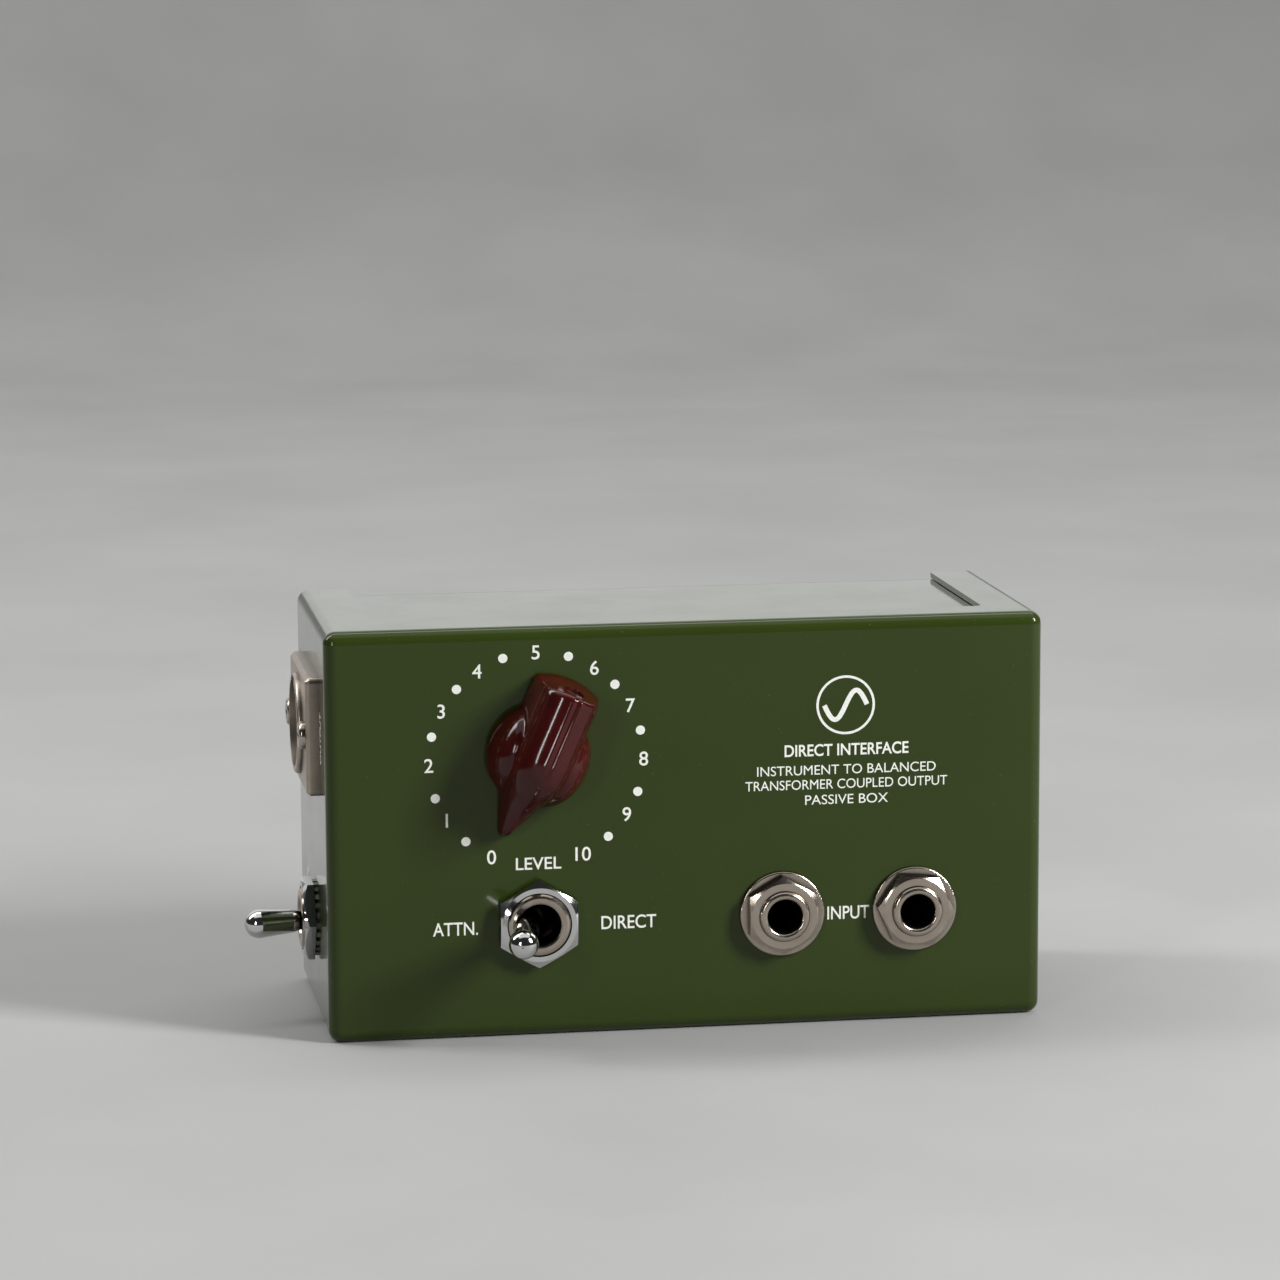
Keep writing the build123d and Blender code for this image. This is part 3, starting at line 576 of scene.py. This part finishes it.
side_print_at = (left_x - ink_thickness / 2, 0, 0)
side_labels = [
    placed(text_mesh("OUTPUT", 1.9, 9.6), 17.2, 55.2, math.pi / 2),
    placed(text_mesh("LIFT", 1.7), -12.9, 23.9),
]
join_prints("side_labels", side_labels, left_turn, side_print_at)


# ---- pointer knob -------------------------------------------------------------------
#
# The knob is a smooth blend of a bar, a skirt and two cheeks. Its surface is found along
# rays from the middle of its base. u runs across the bar, v towards the pointer's tip and
# h out from the panel, all in millimetres.

knob_base = 0.6
bar_half_width = 6.5
wall_slope = 0.16
tip_at = 16.2
tail_at = -15.2
ridge_along = (-20, tail_at, 0, 2.5, 5.2, 8.5, 12, tip_at, 20)
ridge_heights = (12.0, 12.25, 13.2, 12.9, 11.2, 7.9, 5.0, 2.7, 1.0)
skirt_radius = 9.52
skirt_dome = 5.6
skirt_straight = 1.8
cheek_across = 4.9
cheek_half_width = 4.2
cheek_half_length = 7.2
cheek_height = 7.0
screw_hole_radius = 2.0
screw_hole_height = 8.3
furthest = 26.0


def blend_max(first, second, width):
    """The larger of two fields, rounded over a width."""
    overlap = np.maximum(width - np.abs(first - second), 0) / width
    return np.maximum(first, second) + overlap**2 * width / 4


def blend_min(first, second, width):
    """The smaller of two fields, rounded over a width."""
    return -blend_max(-first, -second, width)


def ease(value, start, end):
    """A smooth step from 0 at start to 1 at end."""
    share = np.clip((value - start) / (end - start), 0, 1)
    return share * share * (3 - 2 * share)


fine_v = np.arange(-22, 22, 0.05)
bell = np.exp(-np.linspace(-3, 3, 121) ** 2 / 2)
coarse_ridge = np.pad(np.interp(fine_v, ridge_along, ridge_heights), 60, mode="edge")
smooth_ridge = np.convolve(coarse_ridge, bell / bell.sum(), mode="valid")


def rib(u, centre, height):
    """A fine rounded ridge that runs along the bar."""
    return height * np.exp(-(((u - centre) / 0.42) ** 2))


def bar_field(u, v, h):
    """Below zero inside the pointer bar."""
    rise = h - knob_base
    half_width = blend_min(bar_half_width + 0 * v, 0.8 + (tip_at - v) * 0.43, 1.5)
    side = np.abs(u) - half_width + rise * wall_slope
    tail = np.hypot(u, v - tail_at - 14) - 14 + rise * 0.14
    tail = np.where(v < 0, tail, -5.0)
    tip = v - tip_at + rise * 0.3
    round_over = 5.4 - 2.9 * ease(v, 3, 13)
    across = np.minimum(np.abs(u), round_over * 0.96)
    drop = round_over - np.sqrt(round_over**2 - across**2)
    ribs = (rib(u, 0.25, 0.18) + rib(u, -1.3, 0.33)) * (1 - ease(v, -0.5, 2.5))
    top = (h - np.interp(v, fine_v, smooth_ridge) + drop - ribs) * 0.85
    walls = blend_max(blend_max(side, tail, 0.5), tip, 0.6)
    return blend_max(walls, top, 0.9)


def skirt_field(u, v, h):
    """Below zero inside the round skirt and its two cheeks."""
    rise = np.maximum(h - skirt_straight, 0)
    dome = np.sqrt((u**2 + v**2) / skirt_radius**2 + (rise / skirt_dome) ** 2) - 1
    across = (np.abs(u) - cheek_across) / cheek_half_width
    cheek = np.sqrt(across**2 + (v / cheek_half_length) ** 2 + (rise / cheek_height) ** 2) - 1
    return blend_min(dome * skirt_dome, cheek * cheek_half_width, 0.5)


def knob_field(u, v, h):
    """Below zero inside the knob."""
    return blend_min(bar_field(u, v, h), skirt_field(u, v, h), 0.5)


def surface_radius(turn, lift):
    """How far the surface is from the base centre, at angles round and up, by bisection."""
    halvings = 26
    near = np.zeros(np.broadcast(turn, lift).shape)
    far = near + furthest
    for _ in range(halvings):
        half = (near + far) / 2
        reach = half * np.cos(lift)
        height = knob_base + half * np.sin(lift)
        outside = knob_field(reach * np.sin(turn), reach * np.cos(turn), height) > 0
        far = np.where(outside, half, far)
        near = np.where(outside, near, half)
    return (near + far) / 2


def even_steps(points, samples, count):
    """Values of samples at count places spaced evenly along a curve, closer where it bends."""
    step = np.diff(points, axis=0)
    length = np.linalg.norm(step, axis=1)
    direction = step / np.maximum(length, 1e-9)[:, None]
    bend = np.append(np.linalg.norm(np.diff(direction, axis=0), axis=1), 0)
    along = np.append(0, np.cumsum(length + 2.2 * bend))
    return np.interp(np.linspace(0, along[-1], count), along, samples)


def knob_outside(columns=440, rows=84):
    """Rings of points over the knob, from its base rim to its top, as (u, v, h)."""
    turns = np.linspace(0, 2 * math.pi, 2881)
    rim = surface_radius(turns, 0 * turns)
    plan = np.stack([rim * np.sin(turns), rim * np.cos(turns)], axis=1)
    turns = even_steps(plan, turns, columns + 1)[:-1]
    lifts = np.linspace(0, math.pi / 2, 500)
    radii = surface_radius(turns[:, None], lifts[None, :])
    rings = np.zeros((rows, columns, 3))
    for column, turn in enumerate(turns):
        outline = np.stack([radii[column] * np.cos(lifts), radii[column] * np.sin(lifts)], axis=1)
        lift = even_steps(outline, lifts, rows)
        radius = np.interp(lift, lifts, radii[column])
        reach = radius * np.cos(lift)
        height = knob_base + radius * np.sin(lift)
        rings[:, column] = np.stack([reach * np.sin(turn), reach * np.cos(turn), height], axis=1)
    return rings, turns


def knob_mesh():
    """The closed knob: outside, base, nut recess and shaft bore, in millimetres."""
    rings, turns = knob_outside()
    columns = len(turns)
    shaft_bore, bore_end_height = 3.2, 11.0
    nut_recess, nut_recess_height = 5.3, 5.6
    hollow, hollow_height = 7.8, 3.2
    inside = (
        (hollow, knob_base),
        (hollow, hollow_height),
        (nut_recess, hollow_height),
        (nut_recess, nut_recess_height),
        (shaft_bore, nut_recess_height),
        (shaft_bore, bore_end_height),
    )
    loops = [
        np.stack([radius * np.sin(turns), radius * np.cos(turns), height + 0 * turns], axis=1)
        for radius, height in reversed(inside)
    ]
    loops += list(rings[:-1])
    points = np.concatenate([*loops, [[0, 0, bore_end_height]], rings[-1][:1]])
    faces = []
    for level in range(len(loops) - 1):
        for column in range(columns):
            beside = (column + 1) % columns
            low, high = level * columns, (level + 1) * columns
            faces.append((low + column, low + beside, high + beside, high + column))
    last = (len(loops) - 1) * columns
    bore_end, crown = len(points) - 2, len(points) - 1
    for column in range(columns):
        beside = (column + 1) % columns
        faces.append((bore_end, beside, column))
        faces.append((crown, last + column, last + beside))
    return points, faces


def cylinder_cutter(radius, start, end, height):
    """A closed cylinder along v, for cutting the set screw's hole."""
    made = bmesh.new()
    turn = Matrix.Translation((0, (start + end) / 2, height)) @ Matrix.Rotation(math.pi / 2, 4, "X")
    bmesh.ops.create_cone(
        made,
        cap_ends=True,
        segments=48,
        radius1=radius,
        radius2=radius,
        depth=abs(end - start),
        matrix=turn,
    )
    cutter = bpy.data.objects.new("cutter", mesh_of(made, "cutter"))
    scene.collection.objects.link(cutter)
    return cutter


def pointer_knob():
    """The knob with its set screw hole, pointing away from the set screw."""
    points, faces = knob_mesh()
    raw = mesh_piece("raw_knob", points, faces)
    cutter = cylinder_cutter(screw_hole_radius, -4.0, -17.0, screw_hole_height)
    cut = raw.modifiers.new("set_screw_hole", "BOOLEAN")
    cut.object = cutter
    cut.solver = "EXACT"
    mesh = evaluated_mesh(raw)
    for spare in (raw, cutter):
        bpy.data.objects.remove(spare)
    shaft, tail = middle("level_pot_shaft"), middle("knob_set_screw")
    tip = Vector((shaft.x - tail.x, 0, shaft.z - tail.z)).normalized()
    out = Vector((0, -1, 0))
    across = tip.cross(out)
    turn = Matrix((across, tip, out)).transposed().to_4x4()
    mesh.transform(Matrix.Translation((shaft.x, face_y, shaft.z)) @ turn @ Matrix.Scale(MM, 4))
    mesh.polygons.foreach_set("use_smooth", [True] * len(mesh.polygons))
    mesh.set_sharp_from_angle(angle=math.radians(40))
    piece = bpy.data.objects.new("pointer_knob", mesh)
    scene.collection.objects.link(piece)
    shade([piece], oxblood)
    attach(piece, "level_rotor")
    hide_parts("level_knob")


pointer_knob()
